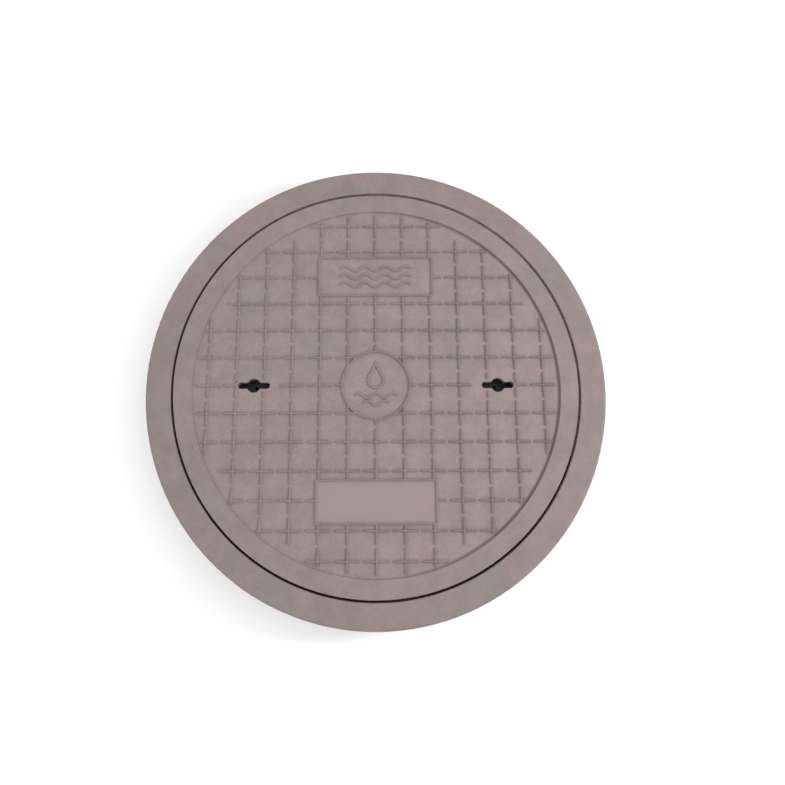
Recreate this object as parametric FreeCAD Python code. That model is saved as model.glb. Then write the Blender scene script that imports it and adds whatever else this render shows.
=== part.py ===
import FreeCAD, Part
import math
import os

# Round composite manhole cover: a moulded resin lid that sits on a rubber
# gasket in a moulded resin frame.  Both mouldings are reinforced with steel
# bar.  Millimetres, +Z up; the origin is the centre of the frame's base, and
# the road surface is level with the top of the frame.

V = FreeCAD.Vector
Z_AXIS = V(0, 0, 1)

# ---------------------------------------------------------------- frame ring
FRAME_R = 400.0            # outer wall, and the widest part of the cover
FRAME_HEIGHT = 100.0
CLEAR_R = 320.0            # access opening through the frame
SEAT_Z = 50.0              # ledge that carries the gasket and lid
BORE_TOP_R = 356.0         # pocket for the lid, at road level
BORE_SEAT_R = 354.5        # the same pocket at the ledge
RIM_ROUND = 6.0
EDGE_ROUND = 1.5

GUSSETS = 32               # outer ribs that key the frame into its concrete bed
GUSSET_ANGLE = 2.0         # degrees taken by one gusset
RECESS_R = 378.0           # floor of the recess between two gussets
RECESS_LOW_Z = 26.0
RECESS_HIGH_Z = 78.0
RECESS_DRAFT = 4.0

GROOVE_IN_R = 332.0        # groove for the gasket
GROOVE_OUT_R = 344.0
GROOVE_Z = 46.0
GASKET_SIDE_GAP = 0.3
GASKET_ROUND = 2.0

# ------------------------------------------------------- frame reinforcement
HOOP_BAR_R = 4.0
STIRRUP_BAR_R = 3.0
STIRRUPS = 16              # one in every second gusset
STIRRUP_OUT_R = 389.0
STIRRUP_IN_R = 331.0
STIRRUP_LOW_Z = 9.0
STIRRUP_TOP_Z = 92.0
STIRRUP_IN_TOP_Z = 36.0
STIRRUP_BEND = 12.0
BAR_SPACE = 1.0            # resin left between two crossing bars
TOP_HOOP_Z = 89.0

# ---------------------------------------------------------------- lid shell
LID_TOP_R = 352.0
LID_LOW_R = 350.0
LID_LOW_Z = 54.0           # underside of the lid, which is the gasket's top
FIELD_R = 319.0            # step between the plain band and the tread
FIELD_Z = 97.0
DRAFT_STEP = 1.2           # how far a 3 mm high wall leans
DECK_LOW_Z = 84.0          # underside of the deck between the ribs
SKIRT_IN_R = 322.0
RIB_SPACING = 85.0
RIB_ROOT_WIDTH = 16.0
RIB_TIP_WIDTH = 14.0
CELL_ROUND = 5.0
SMALLEST_CELL = 900.0      # plan area in mm2; smaller corners are left solid
CELL_COLUMNS = 8
CELL_ROWS = 9

# -------------------------------------------------------------- tread relief
PITCH = 48.6               # spacing of the raised crosses
CROSS_ARM = 21.8           # from the middle of a cross to the end of an arm
LINE_ROOT_WIDTH = 4.4
LINE_TOP_WIDTH = LINE_ROOT_WIDTH - 2 * DRAFT_STEP
LAST_CROSS_PITCHES = 6.45  # crosses further out than this are left off
TREAD_R = 314.0            # arms are cut off here, just inside the step
PANEL_Y = 196.5            # middle of the two name panels
PANEL_HALF_X = 101.5
PANEL_HALF_Y = 35.5
PANEL_ROUND = 3.0
PANEL_IN_ROUND = 2.0
RING_R = 59.0              # raised ring round the emblem
SINK = 1.0                 # how deep raised lines are rooted in the deck
EMBLEM_HEIGHT = 2.0
SMALLEST_LINE = 130.0      # volume in mm3; shorter cut-off arms are left out

# ------------------------------------------------------------------ keyholes
KEY_X = 212.5
SLOT_HALF_LENGTH = 28.0
SLOT_HALF_WIDTH = 5.5
SLOT_EYE_R = 12.25
SLOT_LEAD_IN = 1.2
KEY_MARGIN = 5.0           # plain surface left round a keyhole
KEY_PLATE_SIDE = 66.0
KEY_PLATE_THICK = 5.0
KEY_PLATE_ROUND = 6.0
CUP_FLANGE_THICK = 3.0
CUP_IN_R = 29.0
CUP_WALL = 2.5
CUP_LOW_Z = 55.0
CUP_DRAIN_R = 3.0
SCREW_OFFSET = 27.5
SCREW_R = 2.0
SCREW_HEAD_R = 3.6
SCREW_HEAD_HIGH = 2.6
SCREW_TOP_Z = 92.0
SCREW_TIP = 2.5
SCREW_HOLE_R = 2.3

# --------------------------------------------------------- lid reinforcement
LID_BAR_R = 4.0
BAR_X_Z = 63.0
BAR_Y_Z = 72.0
LID_HOOP_R = 336.0
BAR_X_REACH = 344.0        # the X bars run under the hoop
BAR_ROWS = 8
BAR_COLUMNS = 7


def rounded_wire(corners, place):
    """Closed wire through (u, v, radius) corners, each rounded by its radius."""
    spans = []
    for i, (u, v, radius) in enumerate(corners):
        before = corners[i - 1]
        after = corners[(i + 1) % len(corners)]
        corner = V(u, v, 0)
        back = V(before[0] - u, before[1] - v, 0).normalize()
        ahead = V(after[0] - u, after[1] - v, 0).normalize()
        half = back.getAngle(ahead) / 2
        reach = radius / math.tan(half)
        bisector = (back + ahead).normalize() if radius else back
        middle = corner + bisector * (radius / math.sin(half) - radius)
        spans.append((corner + back * reach, middle, corner + ahead * reach, radius))
    edges = []
    for i, (start, middle, end, radius) in enumerate(spans):
        previous_end = spans[i - 1][2]
        if previous_end.distanceToPoint(start) > 1e-6:
            edges.append(Part.LineSegment(place(previous_end), place(start)).toShape())
        if radius:
            edges.append(Part.Arc(place(start), place(middle), place(end)).toShape())
    return Part.Wire(edges)


def turned(corners, start_angle=0.0, sweep=360.0):
    """Solid turned about Z from a (radius, height, rounding) outline."""
    wire = rounded_wire(corners, lambda p: V(p.x, 0, p.y))
    solid = Part.Face(wire).revolve(V(0, 0, 0), Z_AXIS, sweep)
    solid.rotate(V(0, 0, 0), Z_AXIS, start_angle)
    return solid


def plan_wire(corners, z):
    """Closed level wire at height z through (x, y, radius) corners."""
    return rounded_wire(corners, lambda p: V(p.x, p.y, z))


def rectangle(x, y, half_x, half_y, radius):
    """Corners of a rectangle, anticlockwise."""
    signs = ((-1, -1), (1, -1), (1, 1), (-1, 1))
    return [(x + sx * half_x, y + sy * half_y, radius) for sx, sy in signs]


def plate(corners, low_z, high_z):
    """Level plate with an upright edge."""
    face = Part.Face(plan_wire(corners, low_z))
    return face.extrude(V(0, 0, high_z - low_z))


def drafted(low_corners, low_z, high_corners, high_z):
    """Solid between two level outlines with the same number of corners."""
    wires = [plan_wire(low_corners, low_z), plan_wire(high_corners, high_z)]
    return Part.makeLoft(wires, True, True)


def torus(radius, z, bar_r):
    """Closed hoop of round bar."""
    return Part.makeTorus(radius, bar_r, V(0, 0, z))


def bar(start, end, bar_r):
    """Straight round bar."""
    along = end - start
    return Part.makeCylinder(bar_r, along.Length, start, along)


def mirrored_x(shape):
    """The same piece on the other side of the cover."""
    return shape.mirror(V(0, 0, 0), V(1, 0, 0))


# ------------------------------------------------------- frame reinforcement
def stirrup():
    """One bent bar: down a gusset, inwards along the base and up to the seat."""
    out_bend = V(STIRRUP_OUT_R - STIRRUP_BEND, 0, STIRRUP_LOW_Z + STIRRUP_BEND)
    in_bend = V(STIRRUP_IN_R + STIRRUP_BEND, 0, STIRRUP_LOW_Z + STIRRUP_BEND)
    diagonal = STIRRUP_BEND / math.sqrt(2)
    top = V(STIRRUP_OUT_R, 0, STIRRUP_TOP_Z)
    out_side = V(STIRRUP_OUT_R, 0, out_bend.z)
    out_low = V(out_bend.x, 0, STIRRUP_LOW_Z)
    in_low = V(in_bend.x, 0, STIRRUP_LOW_Z)
    in_side = V(STIRRUP_IN_R, 0, in_bend.z)
    in_top = V(STIRRUP_IN_R, 0, STIRRUP_IN_TOP_Z)
    path = Part.Wire([
        Part.LineSegment(top, out_side).toShape(),
        Part.Arc(out_side, out_bend + V(diagonal, 0, -diagonal), out_low).toShape(),
        Part.LineSegment(out_low, in_low).toShape(),
        Part.Arc(in_low, in_bend + V(-diagonal, 0, -diagonal), in_side).toShape(),
        Part.LineSegment(in_side, in_top).toShape()])
    section = Part.Wire(Part.makeCircle(STIRRUP_BAR_R, top, Z_AXIS))
    return path.makePipeShell([section], True, False)


def stirrup_set():
    """All the stirrups, evenly spaced round the frame."""
    pattern = []
    for i in range(STIRRUPS):
        copy = stirrup()
        copy.rotate(V(0, 0, 0), Z_AXIS, i * 360.0 / STIRRUPS)
        pattern.append(copy)
    return Part.makeCompound(pattern)


def frame_hoops():
    """The hoops lie inside the stirrups' bends and against their outer legs."""
    nest = STIRRUP_BEND - STIRRUP_BAR_R - HOOP_BAR_R - BAR_SPACE
    shift = nest / math.sqrt(2)
    bend_z = STIRRUP_LOW_Z + STIRRUP_BEND - shift
    top_r = STIRRUP_OUT_R - STIRRUP_BAR_R - HOOP_BAR_R - BAR_SPACE
    return {
        "frame_hoop_top": torus(top_r, TOP_HOOP_Z, HOOP_BAR_R),
        "frame_hoop_outer": torus(STIRRUP_OUT_R - STIRRUP_BEND + shift, bend_z, HOOP_BAR_R),
        "frame_hoop_inner": torus(STIRRUP_IN_R + STIRRUP_BEND - shift, bend_z, HOOP_BAR_R)}


# --------------------------------------------------------------- frame, seal
def frame_recesses():
    """The recesses between the outer gussets."""
    step = 360.0 / GUSSETS
    outline = [
        (RECESS_R, RECESS_LOW_Z + RECESS_DRAFT, 3.0),
        (FRAME_R + 1, RECESS_LOW_Z, 0),
        (FRAME_R + 1, RECESS_HIGH_Z, 0),
        (RECESS_R, RECESS_HIGH_Z - RECESS_DRAFT, 3.0)]
    return [turned(outline, i * step + GUSSET_ANGLE / 2, step - GUSSET_ANGLE)
            for i in range(GUSSETS)]


def frame(steel):
    """Frame ring: plain road-level rim, pocket for the lid and gasket ledge."""
    ring = turned([
        (CLEAR_R, 0, 2.0),
        (FRAME_R, 0, 2.0),
        (FRAME_R, FRAME_HEIGHT, RIM_ROUND),
        (BORE_TOP_R, FRAME_HEIGHT, EDGE_ROUND),
        (BORE_SEAT_R, SEAT_Z, 2.0),
        (GROOVE_OUT_R, SEAT_Z, 0.5),
        (GROOVE_OUT_R, GROOVE_Z, 0.5),
        (GROOVE_IN_R, GROOVE_Z, 0.5),
        (GROOVE_IN_R, SEAT_Z, 0.5),
        (CLEAR_R, SEAT_Z, 3.0)])
    return ring.cut(frame_recesses() + steel)


def seat_gasket():
    """Rubber ring that lies loose in the groove and carries the lid."""
    inner = GROOVE_IN_R + GASKET_SIDE_GAP
    outer = GROOVE_OUT_R - GASKET_SIDE_GAP
    return turned([
        (inner, GROOVE_Z, 0.6),
        (outer, GROOVE_Z, 0.6),
        (outer, LID_LOW_Z, GASKET_ROUND),
        (inner, LID_LOW_Z, GASKET_ROUND)])


# ------------------------------------------------------------- tread pattern
def foot_reach():
    """How far a raised line's drafted wall carries on outwards below the field."""
    return DRAFT_STEP * SINK / (FRAME_HEIGHT - FIELD_Z)


def cross_outline(x, y, inset):
    """Twelve corners of a plus sign, drawn in from its root by inset."""
    arm = CROSS_ARM - inset
    half = LINE_ROOT_WIDTH / 2 - inset
    corners = [(half, -arm), (half, -half), (arm, -half), (arm, half), (half, half), (half, arm)]
    corners += [(-u, -v) for u, v in corners]
    return [(x + u, y + v, 0) for u, v in corners]


def raised_cross(x, y):
    """One raised cross of the tread, rooted below the field."""
    return drafted(cross_outline(x, y, -foot_reach()), FIELD_Z - SINK,
                   cross_outline(x, y, DRAFT_STEP), FRAME_HEIGHT)


def keyhole_outline(grow):
    """Slot and round eye of the right-hand keyhole, grown by a margin."""
    half = SLOT_HALF_WIDTH + grow
    slot = rectangle(KEY_X, 0, SLOT_HALF_LENGTH + grow, half, half - 0.01)
    return slot, SLOT_EYE_R + grow


def keyhole(grow, low_z, high_z):
    """Solid with the plan shape of the right-hand keyhole."""
    slot, eye_r = keyhole_outline(grow)
    eye = Part.makeCylinder(eye_r, high_z - low_z, V(KEY_X, 0, low_z))
    return plate(slot, low_z, high_z).fuse(eye).removeSplitter()


def panel_border(y):
    """Raised outline of one name panel."""
    foot = LINE_ROOT_WIDTH / 2 + foot_reach()
    top = LINE_TOP_WIDTH / 2
    outer = drafted(
        rectangle(0, y, PANEL_HALF_X + foot, PANEL_HALF_Y + foot, PANEL_ROUND), FIELD_Z - SINK,
        rectangle(0, y, PANEL_HALF_X + top, PANEL_HALF_Y + top, PANEL_ROUND), FRAME_HEIGHT)
    inner = drafted(
        rectangle(0, y, PANEL_HALF_X - foot, PANEL_HALF_Y - foot, PANEL_IN_ROUND), FIELD_Z - SINK,
        rectangle(0, y, PANEL_HALF_X - top, PANEL_HALF_Y - top, PANEL_IN_ROUND), FRAME_HEIGHT)
    return outer.cut(inner)


def emblem_ring():
    """Raised ring round the emblem."""
    foot = LINE_ROOT_WIDTH / 2 + foot_reach()
    top = LINE_TOP_WIDTH / 2
    return turned([
        (RING_R - foot, FIELD_Z - SINK, 0),
        (RING_R + foot, FIELD_Z - SINK, 0),
        (RING_R + top, FRAME_HEIGHT, 0),
        (RING_R - top, FRAME_HEIGHT, 0)])


def drop_plate(radius, centre_y, apex_ratio):
    """Water-drop shape: a round foot with two straight flanks up to a point."""
    lean = math.asin(1 / apex_ratio)
    touch_x = radius * math.cos(lean)
    touch_y = centre_y + radius * math.sin(lean)
    apex = V(0, centre_y + radius * apex_ratio, 0)
    right = V(touch_x, touch_y, 0)
    left = V(-touch_x, touch_y, 0)
    low = V(0, centre_y - radius, 0)
    wire = Part.Wire([
        Part.Arc(left, low, right).toShape(),
        Part.LineSegment(right, apex).toShape(),
        Part.LineSegment(apex, left).toShape()])
    face = Part.Face(wire)
    face.translate(V(0, 0, FIELD_Z - SINK))
    return face.extrude(V(0, 0, SINK + EMBLEM_HEIGHT))


def wave(y, half_waves, radius, half_angle, width):
    """Wavy raised line of alternating arcs, centred on x = 0."""
    alpha = math.radians(half_angle)
    chord = 2 * radius * math.sin(alpha)
    upper, lower = [], []
    for k in range(half_waves):
        x = (k - (half_waves - 1) / 2) * chord
        side = 1 if k % 2 == 0 else -1
        centre_y = y - side * radius * math.cos(alpha)
        for edges, shift in ((upper, side * width / 2), (lower, -side * width / 2)):
            r = radius + shift
            arc = [V(x + r * math.sin(a), centre_y + side * r * math.cos(a), 0)
                   for a in (-alpha, 0, alpha)]
            edges.append(Part.Arc(*arc))
    caps = [Part.LineSegment(lower[0].StartPoint, upper[0].StartPoint),
            Part.LineSegment(upper[-1].EndPoint, lower[-1].EndPoint)]
    edges = [curve.toShape() for curve in upper + lower + caps]
    face = Part.Face(Part.Wire(Part.__sortEdges__(edges)))
    face.translate(V(0, 0, FIELD_Z - SINK))
    return face.extrude(V(0, 0, SINK + EMBLEM_HEIGHT))


def emblem():
    """Generic water sign: an outlined drop over two wavy lines."""
    outline, foot_y, apex_ratio = 3.6, 9.0, 2.2
    drop = drop_plate(15.0, foot_y, apex_ratio).cut(drop_plate(15.0 - outline, foot_y, apex_ratio))
    return [drop, wave(-18.0, 5, 9.0, 55.0, 3.4), wave(-31.0, 3, 9.0, 55.0, 3.4)]


def tread():
    """Every raised line inside the plain outer band of the lid."""
    low_z = FIELD_Z - 2 * SINK
    high_z = FRAME_HEIGHT + SINK
    zone = Part.makeCylinder(TREAD_R, high_z - low_z, V(0, 0, low_z))
    key_zone = keyhole(KEY_MARGIN, low_z, high_z)
    closed = [key_zone, mirrored_x(key_zone)]
    closed.append(Part.makeCylinder(RING_R, high_z - low_z, V(0, 0, low_z)))
    for y in (PANEL_Y, -PANEL_Y):
        closed.append(plate(rectangle(0, y, PANEL_HALF_X, PANEL_HALF_Y, 0), low_z, high_z))
    zone = zone.cut(closed)

    lines = []
    reach = math.ceil(LAST_CROSS_PITCHES)
    for i in range(-reach, reach + 1):
        for j in range(-reach, reach + 1):
            if math.hypot(i, j) > LAST_CROSS_PITCHES:
                continue
            arms = raised_cross(i * PITCH, j * PITCH).common(zone).Solids
            lines += [arm for arm in arms if arm.Volume > SMALLEST_LINE]
    lines += [panel_border(PANEL_Y), panel_border(-PANEL_Y), emblem_ring()]
    lines += emblem()
    lines += [wave(PANEL_Y + dy, 7, 12.0, 50.0, 3.4) for dy in (-15.0, 0.0, 15.0)]
    return lines


# --------------------------------------------------------- lid reinforcement
def lid_steel():
    """Straight bars in the ribs, both ways, and the hoop in the skirt."""
    pieces = {"lid_hoop": torus(LID_HOOP_R, BAR_Y_Z, LID_BAR_R)}
    inside_hoop = LID_HOOP_R - LID_BAR_R - BAR_SPACE
    for i in range(BAR_ROWS):
        y = (i - (BAR_ROWS - 1) / 2) * RIB_SPACING
        half = math.sqrt(BAR_X_REACH ** 2 - (abs(y) + LID_BAR_R) ** 2)
        pieces["lid_bar_x_%d" % (i + 1)] = bar(V(-half, y, BAR_X_Z), V(half, y, BAR_X_Z), LID_BAR_R)
    for i in range(BAR_COLUMNS):
        x = (i - (BAR_COLUMNS - 1) / 2) * RIB_SPACING
        half = math.sqrt(inside_hoop ** 2 - (abs(x) + LID_BAR_R) ** 2)
        pieces["lid_bar_y_%d" % (i + 1)] = bar(V(x, -half, BAR_Y_Z), V(x, half, BAR_Y_Z), LID_BAR_R)
    return pieces


# ----------------------------------------------------------- keyhole fittings
def screw_places():
    """Plan positions of the four screws round the right-hand keyhole."""
    signs = ((-1, -1), (1, -1), (1, 1), (-1, 1))
    return [(KEY_X + sx * SCREW_OFFSET, sy * SCREW_OFFSET) for sx, sy in signs]


def screw_columns(radius, low_z, high_z):
    """Four upright cylinders on the screw centres."""
    return [Part.makeCylinder(radius, high_z - low_z, V(x, y, low_z)) for x, y in screw_places()]


def key_plate():
    """Steel plate under the deck that the turned key pulls against."""
    high_z, low_z = DECK_LOW_Z, DECK_LOW_Z - KEY_PLATE_THICK
    half = KEY_PLATE_SIDE / 2
    body = plate(rectangle(KEY_X, 0, half, half, KEY_PLATE_ROUND), low_z, high_z)
    return body.cut([keyhole(0, low_z, high_z)] + screw_columns(SCREW_HOLE_R, low_z, high_z))


def key_cup():
    """Plastic cup that closes the keyhole from below and leaves room to turn the key."""
    top = DECK_LOW_Z - KEY_PLATE_THICK
    flange_low = top - CUP_FLANGE_THICK
    half = KEY_PLATE_SIDE / 2
    out_r = CUP_IN_R + CUP_WALL
    floor_z = CUP_LOW_Z + CUP_WALL
    flange = plate(rectangle(KEY_X, 0, half, half, KEY_PLATE_ROUND), flange_low, top)
    well = turned([(0, CUP_LOW_Z, 0), (out_r, CUP_LOW_Z, 4.0), (out_r, top, 0), (0, top, 0)])
    room = turned([(0, floor_z, 0), (CUP_IN_R, floor_z, 2.0), (CUP_IN_R, top, 0), (0, top, 0)])
    drain = Part.makeCylinder(CUP_DRAIN_R, CUP_WALL, V(KEY_X, 0, CUP_LOW_Z))
    for solid in (well, room):
        solid.translate(V(KEY_X, 0, 0))
    body = flange.fuse(well).removeSplitter()
    return body.cut([room, drain] + screw_columns(SCREW_HOLE_R, flange_low, top))


def cup_screw(x, y):
    """Self-tapping screw driven up through the cup and plate into the deck."""
    head_z = DECK_LOW_Z - KEY_PLATE_THICK - CUP_FLANGE_THICK
    low_z = head_z - SCREW_HEAD_HIGH
    body = turned([
        (0, low_z, 0),
        (SCREW_HEAD_R, low_z, 1.2),
        (SCREW_HEAD_R, head_z, 0),
        (SCREW_R, head_z, 0),
        (SCREW_R, SCREW_TOP_Z - SCREW_TIP, 0),
        (0, SCREW_TOP_Z, 0)])
    slots = [plate(rectangle(0, 0, a, b, 0), low_z, low_z + 1.4) for a, b in ((2.2, 0.5), (0.5, 2.2))]
    body = body.cut(slots[0].fuse(slots[1]))
    body.translate(V(x, y, 0))
    return body


# ------------------------------------------------------------------ lid shell
def cell_pockets():
    """Hollows under the deck that leave the crossing ribs and the skirt."""
    limit = turned([(0, LID_LOW_Z - 1, 0), (SKIRT_IN_R + 1, LID_LOW_Z - 1, 0),
                    (SKIRT_IN_R, DECK_LOW_Z, 0), (0, DECK_LOW_Z, 0)])
    root = (RIB_SPACING - RIB_ROOT_WIDTH) / 2
    tip = (RIB_SPACING - RIB_TIP_WIDTH) / 2
    pockets = []
    for column in range(CELL_COLUMNS):
        for row in range(CELL_ROWS):
            x = (column - (CELL_COLUMNS - 1) / 2) * RIB_SPACING
            y = (row - (CELL_ROWS - 1) / 2) * RIB_SPACING
            cell = drafted(rectangle(x, y, tip, tip, CELL_ROUND), LID_LOW_Z - 1,
                           rectangle(x, y, root, root, CELL_ROUND), DECK_LOW_Z)
            cell = cell.common(limit)
            if cell.Volume > SMALLEST_CELL * (DECK_LOW_Z - LID_LOW_Z):
                pockets += cell.Solids
    return pockets


def lid_blank():
    """Turned lid shape: plain band flush with the frame and sunk tread field."""
    return turned([
        (0, LID_LOW_Z, 0),
        (LID_LOW_R, LID_LOW_Z, 2.0),
        (LID_TOP_R, FRAME_HEIGHT, EDGE_ROUND),
        (FIELD_R + DRAFT_STEP, FRAME_HEIGHT, 0),
        (FIELD_R, FIELD_Z, 0),
        (0, FIELD_Z, 0)])


def lid(steel):
    """Lid moulding with its tread, ribs, keyholes and the beds of the steel."""
    shell = lid_blank().multiFuse(tread()).removeSplitter()
    low_z, high_z = DECK_LOW_Z - 1, FRAME_HEIGHT
    slot = keyhole(0, low_z, high_z)
    lead_in = drafted(
        rectangle(KEY_X, 0, SLOT_HALF_LENGTH, SLOT_HALF_WIDTH, SLOT_HALF_WIDTH - 0.01),
        FIELD_Z - SLOT_LEAD_IN,
        rectangle(KEY_X, 0, SLOT_HALF_LENGTH + SLOT_LEAD_IN, SLOT_HALF_WIDTH + SLOT_LEAD_IN,
                  SLOT_HALF_WIDTH + SLOT_LEAD_IN - 0.01), FIELD_Z)
    eye_lead_in = Part.makeCone(SLOT_EYE_R, SLOT_EYE_R + SLOT_LEAD_IN, SLOT_LEAD_IN,
                                V(KEY_X, 0, FIELD_Z - SLOT_LEAD_IN))
    right = slot.fuse([lead_in, eye_lead_in])
    tips = [cup_screw(x, y) for x, y in screw_places()]
    tools = cell_pockets() + steel + [right, mirrored_x(right)]
    tools += tips + [mirrored_x(tip) for tip in tips]
    return shell.cut(tools)


def main():
    os.makedirs("parts", exist_ok=True)
    hoops = frame_hoops()
    stirrups = stirrup_set()
    lid_pieces = lid_steel()
    screws = Part.makeCompound([cup_screw(x, y) for x, y in screw_places()])

    nodes = {
        "frame": frame(list(hoops.values()) + stirrups.Solids),
        "frame_stirrups": stirrups,
        "seat_gasket": seat_gasket(),
        "lid": lid(list(lid_pieces.values())),
        "key_plate_right": key_plate(),
        "key_plate_left": mirrored_x(key_plate()),
        "key_cup_right": key_cup(),
        "key_cup_left": mirrored_x(key_cup()),
        "key_cup_screws_right": screws,
        "key_cup_screws_left": mirrored_x(screws)}
    nodes.update(hoops)
    nodes.update(lid_pieces)

    for name, shape in nodes.items():
        shape.exportStep("parts/%s.step" % name)
        print("%-22s solids %2d  valid %s  litres %.4f" % (
            name, len(shape.Solids), shape.isValid(), shape.Volume / 1e6))


main()
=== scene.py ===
import math

import bmesh
import bpy
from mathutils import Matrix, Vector, noise


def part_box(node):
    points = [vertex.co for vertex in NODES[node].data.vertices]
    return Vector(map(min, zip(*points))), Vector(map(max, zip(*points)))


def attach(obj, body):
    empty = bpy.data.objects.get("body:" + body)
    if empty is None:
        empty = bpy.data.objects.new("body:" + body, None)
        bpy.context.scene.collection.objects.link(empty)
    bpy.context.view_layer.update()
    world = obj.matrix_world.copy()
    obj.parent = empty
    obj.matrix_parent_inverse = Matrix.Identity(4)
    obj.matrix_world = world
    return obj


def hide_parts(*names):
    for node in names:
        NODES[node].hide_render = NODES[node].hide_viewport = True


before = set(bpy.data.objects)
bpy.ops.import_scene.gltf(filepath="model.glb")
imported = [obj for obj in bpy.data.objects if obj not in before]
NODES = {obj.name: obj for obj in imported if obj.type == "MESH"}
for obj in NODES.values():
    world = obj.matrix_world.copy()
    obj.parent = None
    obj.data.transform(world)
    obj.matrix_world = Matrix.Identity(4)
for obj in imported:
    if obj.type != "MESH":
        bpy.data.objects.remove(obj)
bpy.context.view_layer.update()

MM = 0.001
TOP_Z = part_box("frame")[1].z             # road level
LID_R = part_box("lid")[1].x
SEAM = 4.0 * MM                          # between lid and frame, at road level

# --------------------------------------------- places on the lid and frame
FIELD_Z = TOP_Z - 3 * MM                 # floor of the tread
STEP_R = 319.6 * MM                      # middle of the step round the tread
CUT_R = 314.0 * MM                       # raised arms are cut off here
PANEL_Y = -196.5 * MM                    # middle of the blank panel
PANEL_HALF = (98.8 * MM, 32.8 * MM)      # half its smooth floor, just inside the raised outline
KEY_X = 212.5 * MM                       # middle of each keyhole
KEY_REACH = (34 * MM, 20 * MM)           # half the size of the box round a keyhole

RECESS_R = 378.0 * MM                    # back of the recesses round the frame
RECESS_Z = (10 * MM, 92 * MM)            # a height below all of them, and one above

# -------------------------------------------------- silt packed into the seam
SILT_MIDDLE = math.radians(58)           # direction of its middle, from +X towards +Y
SILT_EDGE = math.cos(math.radians(78))   # it thins out to nothing this far round
SILT_BOTTOM = TOP_Z - 9.5 * MM
SILT_DEPTH = 7.6 * MM                    # its surface rises by up to this, small grit aside

# ---------------------------------------------------------- rounded edges
LID_EDGE = 0.55 * MM
FRAME_EDGE = 0.8 * MM
GASKET_EDGE = 1.2 * MM                   # of its lower edges

# ------------------------------------------------------------ gasket's joint
GASKET_START = 203.0                     # degrees from +X towards +Y, where its ends meet
GASKET_SWEEP = 359.93                    # degrees, which leaves a fine gap between its ends

# -------------------------------------------------------------------- painted shade
SHADE_FROM = -260 * MM                   # painted shade on the lid's raised lines and in its corners grows along X from here
SHADE_TO = 260 * MM                      # to here

# ------------------------------------------------------------------ camera
CAMERA_PLACE = Vector((-0.0074, -0.2002, TOP_Z + 1.3609))
CAMERA_TILT = math.radians(14.773)       # off straight down, towards +Y
CAMERA_ROLL = math.radians(-0.173)
CAMERA_LENS = 36.1                       # millimetres, on a 36 mm sensor
CAMERA_SHIFT = (0.0263, -0.1222)

# --------------------------------------------------------- light and floor
KEY_LIGHT_PLACE = Vector((1.70, 0.05, 1.35))
KEY_LIGHT_SIZE = 0.36                    # metres across
KEY_LIGHT_POWER = 17                     # watts
SKY_STRENGTH = 1.2
FLOOR_HALF = 6                           # metres, half the floor's side

# ----------------------------------------------------------------- colours
RESIN_WARM = (0.247, 0.186, 0.188)       # moulded resin varies between these two
RESIN_COOL = (0.222, 0.187, 0.181)
RESIN_RUBBED = (0.30, 0.27, 0.26)
RESIN_BLANK = (0.262, 0.200, 0.202)      # smooth floor of the blank panel
# colour of the painted shade in the resin's corners, and of the resin's own dark specks
SHADE_AND_SPECK_COLOUR = (0.052, 0.038, 0.036)
RUBBER = (0.020, 0.020, 0.021)
RUBBER_DUST = (0.085, 0.078, 0.072)
MILL_SCALE = (0.095, 0.092, 0.094)
RUST = (0.215, 0.082, 0.032)
ZINC_DARK = (0.44, 0.46, 0.48)
ZINC_LIGHT = (0.66, 0.67, 0.69)
ZINC_BLOOM = (0.72, 0.73, 0.73)
PLASTIC = (0.012, 0.011, 0.011)
PLASTIC_DUST = (0.045, 0.033, 0.029)
PLASTIC_SCUFF = (0.060, 0.060, 0.062)
SCREW = (0.60, 0.59, 0.57)
SCREW_STAIN = (0.30, 0.25, 0.21)
SILT_DARK = (0.100, 0.068, 0.060)
SILT_PALE = (0.180, 0.132, 0.118)
FLOOR = (0.95, 0.95, 0.95)


# ---------------------------------------------------------- camera and light
def make_camera():
    data = bpy.data.cameras.new("camera")
    data.sensor_width = 36.0
    data.lens = CAMERA_LENS
    data.shift_x, data.shift_y = CAMERA_SHIFT
    camera = bpy.data.objects.new("camera", data)
    bpy.context.scene.collection.objects.link(camera)
    camera.rotation_mode = "XYZ"
    camera.location = CAMERA_PLACE
    camera.rotation_euler = (CAMERA_TILT, 0.0, CAMERA_ROLL)
    bpy.context.scene.camera = camera


def make_lights():
    """Bright even sky, and one soft round light that points at the middle of the cover."""
    data = bpy.data.lights.new("key", "AREA")
    data.shape = "DISK"
    data.size = KEY_LIGHT_SIZE
    data.energy = KEY_LIGHT_POWER
    light = bpy.data.objects.new("key", data)
    bpy.context.scene.collection.objects.link(light)
    light.location = KEY_LIGHT_PLACE
    light.rotation_euler = (Vector((0, 0, TOP_Z)) - KEY_LIGHT_PLACE).to_track_quat("-Z", "Y").to_euler()
    world = bpy.data.worlds.new("world")
    bpy.context.scene.world = world
    world.use_nodes = True
    background = world.node_tree.nodes["Background"]
    background.inputs["Color"].default_value = (1, 1, 1, 1)
    background.inputs["Strength"].default_value = SKY_STRENGTH
    bpy.context.scene.view_settings.view_transform = "Standard"


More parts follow.
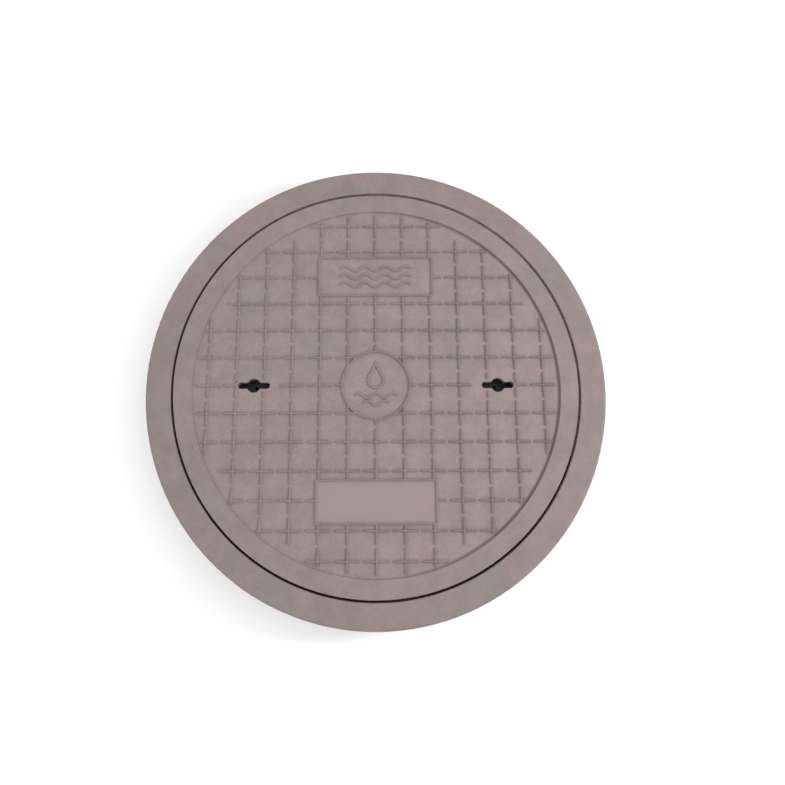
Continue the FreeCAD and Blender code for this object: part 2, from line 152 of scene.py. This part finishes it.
# ------------------------------------------------------------ material nodes
class Graph:
    """One material's node tree, with a short call for each kind of node it needs."""

    def __init__(self, name):
        self.material = bpy.data.materials.new(name)
        self.material.use_nodes = True
        self.nodes = self.material.node_tree.nodes
        self.shader = self.nodes["Principled BSDF"]
        self.place = self.nodes.new("ShaderNodeTexCoord").outputs["Object"]
        split = self.nodes.new("ShaderNodeSeparateXYZ")
        self.feed(split.inputs[0], self.place)
        self.x, self.y, self.z = split.outputs

    def feed(self, socket, value):
        if isinstance(value, bpy.types.NodeSocket):
            self.material.node_tree.links.new(value, socket)
        elif value is not None:
            socket.default_value = value

    def math(self, operation, *values):
        node = self.nodes.new("ShaderNodeMath")
        node.operation = operation
        for socket, value in zip(node.inputs, values):
            self.feed(socket, value)
        return node.outputs[0]

    def ramp(self, value, low, high, start=0.0, end=1.0):
        """Smooth rise from start to end as value goes from low to high."""
        node = self.nodes.new("ShaderNodeMapRange")
        node.interpolation_type = "SMOOTHSTEP"
        for socket, number in zip(node.inputs, (value, low, high, start, end)):
            self.feed(socket, number)
        return node.outputs[0]

    def mix(self, factor, low, high):
        """Colour from low to high as factor goes from 0 to 1."""
        node = self.nodes.new("ShaderNodeMix")
        node.data_type = "RGBA"
        self.feed(node.inputs["Factor"], factor)
        for socket, colour in ((node.inputs[6], low), (node.inputs[7], high)):
            self.feed(socket, (*colour, 1) if isinstance(colour, tuple) else colour)
        return node.outputs[2]

    def scaled(self, colour, factor):
        """Colour times a number."""
        node = self.nodes.new("ShaderNodeVectorMath")
        node.operation = "SCALE"
        self.feed(node.inputs[0], colour)
        self.feed(node.inputs["Scale"], factor)
        return node.outputs[0]

    def stretched(self, x, y, z):
        """Object coordinates multiplied along each axis."""
        node = self.nodes.new("ShaderNodeVectorMath")
        node.operation = "MULTIPLY"
        self.feed(node.inputs[0], self.place)
        node.inputs[1].default_value = (x, y, z)
        return node.outputs[0]

    def noise(self, scale, detail=3.0, rough=0.5, where=None):
        """Cloudy noise from 0 to 1; scale is in lumps per metre."""
        node = self.nodes.new("ShaderNodeTexNoise")
        self.feed(node.inputs["Vector"], where or self.place)
        self.feed(node.inputs["Scale"], scale)
        self.feed(node.inputs["Detail"], detail)
        self.feed(node.inputs["Roughness"], rough)
        return node.outputs[0]

    def cells(self, scale, output="Distance"):
        """Voronoi cells; scale is in cells per metre."""
        node = self.nodes.new("ShaderNodeTexVoronoi")
        self.feed(node.inputs["Vector"], self.place)
        self.feed(node.inputs["Scale"], scale)
        return node.outputs[output]

    def corners(self, reach, inside=False):
        """0 on open surfaces, and up to 1 in corners, or on edges when inside is set."""
        node = self.nodes.new("ShaderNodeAmbientOcclusion")
        node.samples = 6
        node.inside = inside
        node.only_local = True
        node.inputs["Distance"].default_value = reach
        return self.math("SUBTRACT", 1.0, node.outputs["AO"])

    def radius(self):
        """Distance from the cover's axis."""
        return self.math("SQRT", self.math("ADD", self.math("MULTIPLY", self.x, self.x),
                                           self.math("MULTIPLY", self.y, self.y)))

    def in_band(self, value, middle, reach, blur):
        """1 where value is within reach of middle, fading out over blur."""
        gap = self.math("ABSOLUTE", self.math("SUBTRACT", value, middle))
        return self.ramp(gap, reach, reach + blur, 1.0, 0.0)

    def bump(self, *layers):
        """Stacks (height from 0 to 1, depth in metres) layers into one normal."""
        normal = None
        for height, depth in layers:
            node = self.nodes.new("ShaderNodeBump")
            node.inputs["Distance"].default_value = depth
            self.feed(node.inputs["Height"], height)
            self.feed(node.inputs["Normal"], normal)
            normal = node.outputs[0]
        self.feed(self.shader.inputs["Normal"], normal)

    def finish(self, colour, roughness, metallic=0.0, specular=0.5):
        self.feed(self.shader.inputs["Base Color"], colour)
        self.feed(self.shader.inputs["Roughness"], roughness)
        self.shader.inputs["Metallic"].default_value = metallic
        self.shader.inputs["Specular IOR Level"].default_value = specular
        return self.material


# ----------------------------------------------------------------- materials
def resin(name, is_lid):
    """Matt moulded resin: mottled and grained, with painted shade in its corners, rubbed on its edges,
    and on the lid its raised lines darkened by stain and painted shade, and a painted shadow inside the
    step.
    """
    g = Graph(name)
    blotches = g.ramp(g.noise(9.0, 3.0, 0.55), 0.36, 0.64)
    colour = g.mix(blotches, RESIN_COOL, RESIN_WARM)

    mottle = g.ramp(g.noise(34.0, 5.0, 0.62), 0.30, 0.70, 0.92, 1.07)
    grain = g.ramp(g.noise(520.0, 3.0, 0.7), 0.25, 0.75, 0.90, 1.10)
    colour = g.scaled(colour, g.math("MULTIPLY", mottle, grain))

    if is_lid:
        inside = g.ramp(g.radius(), STEP_R - 1.6 * MM, STEP_R - 0.6 * MM, 1.0, 0.0)
        lines = g.math("MULTIPLY", g.ramp(g.z, FIELD_Z + 0.6 * MM, FIELD_Z + 2.2 * MM), inside)
        # stain: the raised lines darkened, partly stain and partly painted shade, more so towards +X
        stain = g.math("MULTIPLY", lines, g.ramp(g.x, SHADE_FROM, SHADE_TO, 0.08, 0.24))
        colour = g.scaled(colour, g.math("SUBTRACT", 1.0, stain))
        colour = g.scaled(colour, g.ramp(inside, 0.0, 1.0, 0.93, 0.99))
        # painted shadow just inside the step round the tread, mostly on its +X side, where the key light
        # leaves the step's wall in shade
        step_shadow = g.math("MULTIPLY", g.in_band(g.radius(), STEP_R - 1.0 * MM, 2.0 * MM, 1.8 * MM),
                        g.ramp(g.x, -60 * MM, 240 * MM))
        # strength of the painted shade in corners, growing towards +X on the lid
        corner_shade_level = g.ramp(g.x, SHADE_FROM, SHADE_TO, 0.30, 0.55)
    else:
        colour = g.scaled(colour, 0.90)
        step_shadow, corner_shade_level = 0.0, 0.45

    # painted shade: darker in corners and recesses, in patches
    corner = g.corners(5.0 * MM)
    patchy = g.ramp(g.noise(55.0, 4.0, 0.6), 0.30, 0.66, 0.55, 1.0)
    painted_shade = g.math("MULTIPLY", g.math("MULTIPLY", g.ramp(corner, 0.04, 0.60), corner_shade_level), patchy)
    painted_shade = g.math("MAXIMUM", painted_shade, g.math("MULTIPLY", step_shadow, 0.50))
    pocks = g.ramp(g.cells(210.0), 0.10, 0.22, 1.0, 0.0)
    rare = g.ramp(g.noise(70.0, 2.0), 0.58, 0.68)
    specks = g.math("MULTIPLY", pocks, rare)
    # the painted shade, together with the resin's own dark specks
    shade_and_specks = g.math("MAXIMUM", painted_shade, g.math("MULTIPLY", specks, 0.55))
    colour = g.mix(shade_and_specks, colour, SHADE_AND_SPECK_COLOUR)

    rubbed = g.math("MULTIPLY", g.ramp(g.corners(1.3 * MM, inside=True), 0.12, 0.50),
                    g.ramp(g.noise(90.0, 4.0, 0.65), 0.40, 0.64))
    bare = g.math("MULTIPLY", rubbed, g.ramp(g.z, FIELD_Z, TOP_Z))
    colour = g.mix(g.math("MULTIPLY", bare, 0.3), colour, RESIN_RUBBED)

    rough = g.ramp(g.noise(120.0, 4.0, 0.6), 0.25, 0.75, 0.58, 0.80)
    rough = g.math("SUBTRACT", rough, g.math("MULTIPLY", rubbed, 0.12))

    fine = g.noise(1500.0, 3.0, 0.7)
    coarse = g.noise(330.0, 4.0, 0.6)
    if is_lid:
        blank = g.math("MULTIPLY", g.in_band(g.x, 0.0, PANEL_HALF[0], 1.5 * MM),
                       g.in_band(g.y, PANEL_Y, PANEL_HALF[1], 1.5 * MM))
        blank = g.math("MULTIPLY", blank, g.ramp(g.z, FIELD_Z - 2 * MM, FIELD_Z - 1 * MM))
        colour = g.mix(g.math("MULTIPLY", blank, 0.75), colour, RESIN_BLANK)
        rough = g.math("SUBTRACT", rough, g.math("MULTIPLY", blank, 0.10))
        coarse = g.math("MULTIPLY", coarse, g.math("SUBTRACT", 1.0, g.math("MULTIPLY", blank, 0.8)))
    sag = g.noise(26.0, 2.0)
    g.bump((sag, 1.2 * MM), (coarse, 0.35 * MM), (fine, 0.10 * MM))
    return g.finish(colour, rough, specular=0.32)


def rubber():
    """Black rubber with pale dust in its hollows."""
    g = Graph("gasket_rubber")
    dust = g.math("MULTIPLY", g.ramp(g.noise(60.0, 5.0, 0.65), 0.42, 0.72),
                  g.ramp(g.corners(2.5 * MM), 0.0, 0.5, 0.25, 0.9))
    colour = g.mix(dust, RUBBER, RUBBER_DUST)
    rough = g.ramp(dust, 0.0, 0.8, 0.55, 0.90)
    g.bump((g.noise(240.0, 3.0), 0.15 * MM), (g.noise(2200.0, 2.0), 0.05 * MM))
    return g.finish(colour, rough, specular=0.4)


def bar_steel():
    """Hot-rolled bar: blue-grey mill scale breaking into rust."""
    g = Graph("bar_steel")
    rust = g.ramp(g.noise(85.0, 6.0, 0.68), 0.44, 0.60)
    shade = g.ramp(g.noise(420.0, 3.0), 0.25, 0.75, 0.75, 1.25)
    colour = g.scaled(g.mix(rust, MILL_SCALE, RUST), shade)
    rough = g.ramp(rust, 0.0, 1.0, 0.42, 0.88)
    g.bump((rust, 0.12 * MM), (g.noise(1400.0, 4.0, 0.7), 0.10 * MM))
    return g.finish(colour, rough, metallic=0.35)


def plate_steel():
    """Hot-dip zinc: spangled crystals, dulled by white bloom."""
    g = Graph("plate_steel")
    crystal = g.math("FRACT", g.math("MULTIPLY", g.cells(150.0, output="Color"), 3.7))
    tone = g.mix(crystal, ZINC_DARK, ZINC_LIGHT)
    bloom = g.ramp(g.noise(70.0, 5.0, 0.65), 0.52, 0.70)
    colour = g.mix(g.math("MULTIPLY", bloom, 0.6), tone, ZINC_BLOOM)
    rough = g.math("ADD", g.ramp(crystal, 0.0, 1.0, 0.30, 0.44), g.math("MULTIPLY", bloom, 0.28))
    g.bump((g.cells(150.0), 0.05 * MM), (g.noise(700.0, 3.0), 0.04 * MM))
    return g.finish(colour, rough, metallic=0.85)


def cup_plastic():
    """Black moulded polypropylene, scuffed and dusty where the key works."""
    g = Graph("cup_plastic")
    dust = g.math("MULTIPLY", g.ramp(g.noise(95.0, 5.0, 0.6), 0.45, 0.75),
                  g.ramp(g.corners(4 * MM), 0.0, 0.5))
    scuff = g.ramp(g.noise(60.0, 3.0, 0.8, g.stretched(1.0, 9.0, 3.0)), 0.60, 0.66)
    colour = g.mix(g.math("MULTIPLY", dust, 0.6), PLASTIC, PLASTIC_DUST)
    colour = g.mix(g.math("MULTIPLY", scuff, 0.25), colour, PLASTIC_SCUFF)
    rough = g.ramp(g.noise(260.0, 3.0), 0.3, 0.7, 0.34, 0.52)
    g.bump((g.noise(1800.0, 2.0), 0.06 * MM), (scuff, 0.04 * MM))
    return g.finish(colour, rough)


def screw_steel():
    """Stainless screw, turned and a little stained."""
    g = Graph("screw_steel")
    stain = g.ramp(g.noise(380.0, 4.0, 0.6), 0.50, 0.72)
    colour = g.mix(g.math("MULTIPLY", stain, 0.6), SCREW, SCREW_STAIN)
    rough = g.ramp(stain, 0.0, 1.0, 0.24, 0.55)
    g.bump((g.noise(900.0, 2.0, 0.5, g.stretched(1.0, 1.0, 14.0)), 0.04 * MM))
    return g.finish(colour, rough, metallic=1.0)


def silt():
    """Packed dust and grit."""
    g = Graph("seam_silt")
    grit = g.cells(900.0)
    colour = g.mix(g.ramp(g.noise(300.0, 4.0, 0.7), 0.3, 0.7), SILT_DARK, SILT_PALE)
    colour = g.scaled(colour, g.ramp(grit, 0.1, 0.7, 1.2, 0.8))
    g.bump((grit, 0.30 * MM), (g.noise(2500.0, 2.0), 0.10 * MM))
    return g.finish(colour, g.ramp(grit, 0.0, 0.8, 0.86, 0.98), specular=0.2)


# -------------------------------------------------------------------- pieces
def add_piece(name, mesh, body, nodes, material):
    """Shows a finished mesh, riding on a body and standing for CAD nodes."""
    piece = bpy.data.objects.new(name, mesh)
    bpy.context.scene.collection.objects.link(piece)
    mesh.materials.clear()
    mesh.materials.append(material)
    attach(piece, body)
    if nodes:
        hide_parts(*nodes)
    return piece


def smooth(piece, sharp_angle=40.0):
    """Smooth shading, except over edges sharper than the angle, with flat faces kept flat."""
    piece.data.shade_smooth()
    piece.data.set_sharp_from_angle(angle=math.radians(sharp_angle))
    flatten = piece.modifiers.new("flatten", "WEIGHTED_NORMAL")
    flatten.keep_sharp = True


def rounded_copy(node, width, chosen):
    """Mesh of a CAD node with its chosen sharp edges rounded off, as a mould leaves them."""
    shape = bmesh.new()
    shape.from_mesh(NODES[node].data)
    bmesh.ops.remove_doubles(shape, verts=shape.verts, dist=0.002 * MM)
    bmesh.ops.dissolve_limit(shape, angle_limit=math.radians(0.2), verts=shape.verts, edges=shape.edges)
    sharp = [e for e in shape.edges if e.calc_face_angle(0.0) > math.radians(30) and chosen(e)]
    bmesh.ops.bevel(shape, geom=sharp, offset=width, segments=2, profile=0.5, affect="EDGES",
                    clamp_overlap=False)
    mesh = bpy.data.meshes.new(node + "_rounded")
    shape.to_mesh(mesh)
    shape.free()
    return mesh


def on_tread(edge):
    """True for the edges of the lid's tread, except at the keyholes and on cut-off arms."""
    ends = [v.co for v in edge.verts]
    radii = [math.hypot(p.x, p.y) for p in ends]
    in_keyhole = all(abs(abs(p.x) - KEY_X) < KEY_REACH[0] and abs(p.y) < KEY_REACH[1] for p in ends)
    at_cut = any(abs(r - CUT_R) < 0.5 * MM for r in radii)
    in_tread = min(p.z for p in ends) > FIELD_Z - 0.1 * MM and max(radii) < STEP_R + 2 * MM
    return in_tread and not in_keyhole and not at_cut


def make_lid():
    mesh = rounded_copy("lid", LID_EDGE, on_tread)
    material = resin("lid_resin", True)
    smooth(add_piece("lid_moulding", mesh, "lid_set", ["lid"], material))


def on_gusset(edge):
    """True for the edges of the recesses round the frame."""
    ends = [v.co for v in edge.verts]
    return (edge.calc_length() > 2 * MM and min(math.hypot(p.x, p.y) for p in ends) > RECESS_R - 1 * MM
            and min(p.z for p in ends) > RECESS_Z[0] and max(p.z for p in ends) < RECESS_Z[1])


def make_frame():
    mesh = rounded_copy("frame", FRAME_EDGE, on_gusset)
    material = resin("frame_resin", False)
    smooth(add_piece("frame_moulding", mesh, "frame_set", ["frame"], material))


def ring_mesh(name, profile, start, sweep, steps, lift=None):
    """Closed mesh swept about the cover's axis from a (radius, height) outline, with both ends capped.

    lift(turn, u) moves outline point u up at each angle."""
    shape = bmesh.new()
    rows = []
    for i in range(steps + 1):
        turn = math.radians(start + sweep * i / steps)
        row = []
        for u, (r, z) in enumerate(profile):
            raised = z + (lift(turn, u) if lift else 0.0)
            row.append(shape.verts.new((r * math.cos(turn), r * math.sin(turn), raised)))
        rows.append(row)
    for low, high in zip(rows, rows[1:]):
        for u in range(len(profile)):
            v = (u + 1) % len(profile)
            shape.faces.new((low[u], low[v], high[v], high[u]))
    shape.faces.new(rows[0][::-1])
    shape.faces.new(rows[-1])
    bmesh.ops.recalc_face_normals(shape, faces=shape.faces)
    mesh = bpy.data.meshes.new(name)
    shape.to_mesh(mesh)
    shape.free()
    return mesh


def arc(middle_r, middle_z, reach, first, last, count):
    """Points of an outline's rounded corner or rib, in degrees from outwards to upwards."""
    turns = [math.radians(first + (last - first) * i / (count - 1)) for i in range(count)]
    return [(middle_r + reach * math.cos(t), middle_z + reach * math.sin(t)) for t in turns]


def make_gasket():
    """Sealing strip with three rounded lips on top and a butt joint where its ends meet."""
    low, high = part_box("seat_gasket")
    outer = high.x
    inner = min(math.hypot(v.co.x, v.co.y) for v in NODES["seat_gasket"].data.vertices)
    lip = (outer - inner) / 6
    crown_z = high.z - lip
    profile = arc(outer - GASKET_EDGE, low.z + GASKET_EDGE, GASKET_EDGE, -90, 0, 5)
    for k in (5, 3, 1):
        profile += arc(inner + k * lip, crown_z, lip * 0.98, 0, 180, 13)
    profile += arc(inner + GASKET_EDGE, low.z + GASKET_EDGE, GASKET_EDGE, 180, 270, 5)
    mesh = ring_mesh("gasket_strip", profile, GASKET_START, GASKET_SWEEP, 288)
    smooth(add_piece("gasket_strip", mesh, "gasket", ["seat_gasket"], rubber()))


def silt_level(turn):
    """How far the silt's surface stands above its deepest level, round the seam."""
    spread = math.cos(turn - SILT_MIDDLE)
    fill = max(0.0, (spread - SILT_EDGE) / (1 - SILT_EDGE)) ** 0.5
    where = Vector((LID_R * math.cos(turn), LID_R * math.sin(turn), 0))
    lumps = 0.25 * noise.noise(where * 45) + 0.12 * noise.noise(where * 260)
    return SILT_DEPTH * max(0.0, min(1.0, fill * (0.86 + lumps)))


def make_silt():
    """Silt packed into the upper right of the seam."""
    inner, outer = LID_R + 0.15 * MM, LID_R + SEAM - 0.35 * MM
    across = 6
    profile = [(inner, SILT_BOTTOM), (outer, SILT_BOTTOM)]
    profile += [(outer + (inner - outer) * k / across, SILT_BOTTOM + 0.2 * MM) for k in range(across + 1)]

    def lift(turn, u):
        if u < 2:                        # the two points of the flat bottom
            return 0.0
        where = Vector((LID_R * math.cos(turn), LID_R * math.sin(turn), 0.004 * u))
        return silt_level(turn) + 0.35 * MM * noise.noise(where * 900)

    half = math.degrees(math.acos(SILT_EDGE))
    mesh = ring_mesh("seam_silt", profile, math.degrees(SILT_MIDDLE) - half, 2 * half, 900, lift)
    smooth(add_piece("seam_silt", mesh, "frame_set", [], silt()), 70)


def paint_nodes():
    """Finishes for the CAD nodes that are shown as they are."""
    steel, zinc, plastic, screws = bar_steel(), plate_steel(), cup_plastic(), screw_steel()
    finishes = {"frame_hoop": steel, "frame_stirrups": steel, "lid_hoop": steel, "lid_bar": steel,
                "key_plate": zinc, "key_cup_screws": screws,
                "key_cup_left": plastic, "key_cup_right": plastic}
    for name, node in NODES.items():
        for start, material in finishes.items():
            if name.startswith(start):
                node.data.materials.clear()
                node.data.materials.append(material)


def make_floor():
    mesh = bpy.data.meshes.new("floor")
    corners = [(FLOOR_HALF * x, FLOOR_HALF * y, 0) for x, y in ((-1, -1), (1, -1), (1, 1), (-1, 1))]
    mesh.from_pydata(corners, [], [(0, 1, 2, 3)])
    floor = bpy.data.objects.new("floor", mesh)
    bpy.context.scene.collection.objects.link(floor)
    g = Graph("floor")
    mesh.materials.append(g.finish((*FLOOR, 1), 0.9, specular=0.2))


make_camera()
make_lights()
make_floor()
make_lid()
make_frame()
make_gasket()
make_silt()
paint_nodes()
